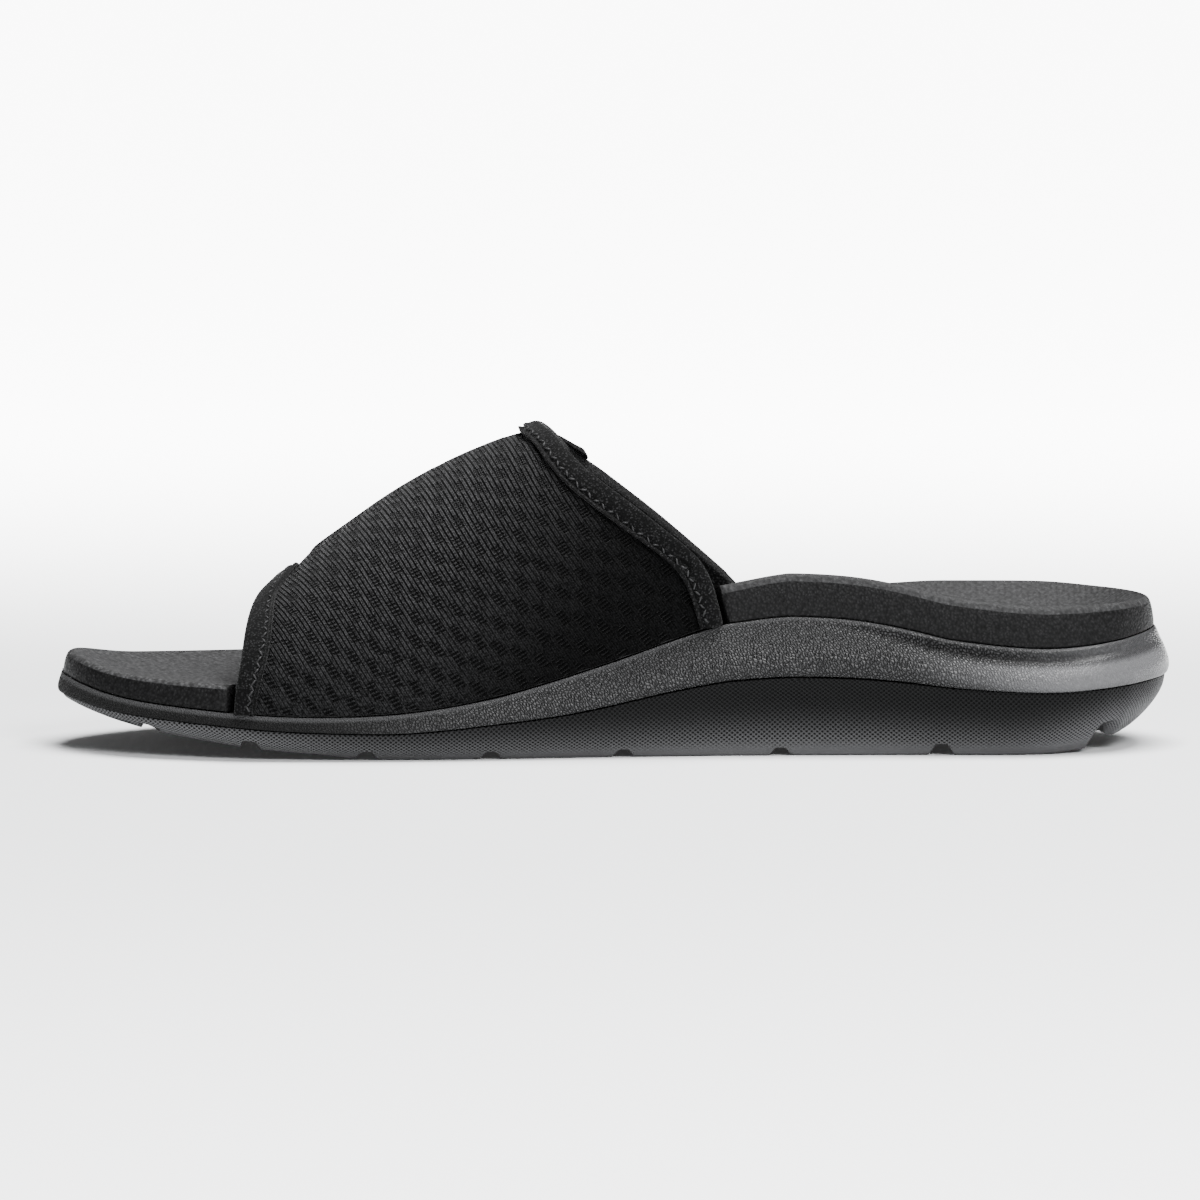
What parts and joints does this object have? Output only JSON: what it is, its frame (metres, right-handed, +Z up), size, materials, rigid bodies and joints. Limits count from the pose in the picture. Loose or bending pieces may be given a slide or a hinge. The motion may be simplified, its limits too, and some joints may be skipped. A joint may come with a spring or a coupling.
{
  "type": "slide sandal",
  "caption": "Right-foot sport slide sandal: layered foam sole with a raised arch and grooved tread, wide bound knit band with a closure flap.",
  "frame": {"origin": "on the floor, under the middle of the bounding box", "axes": "+X to the toe, +Y to the medial (arch) side, +Z up"},
  "size_m": [0.29, 0.1026, 0.0837],
  "materials": {
    "outsole_foam": "satin black foam rubber with a fine diamond texture on its walls",
    "midsole_foam": "semi-gloss black foam with a coarse pebbled skin",
    "footbed_foam": "matt black foam, finely textured on top",
    "knit": "padded black knit with slanting cords and rows of small openwork",
    "binding": "smooth matt black knitted tape"
  },
  "bodies": {
    "root": {"outsole": "outsole_foam", "midsole": "midsole_foam", "footbed": "footbed_foam", "upper": "knit", "toe_binding": "binding", "collar_binding": "binding", "closure_flap": "knit"}
  },
  "joints": []
}
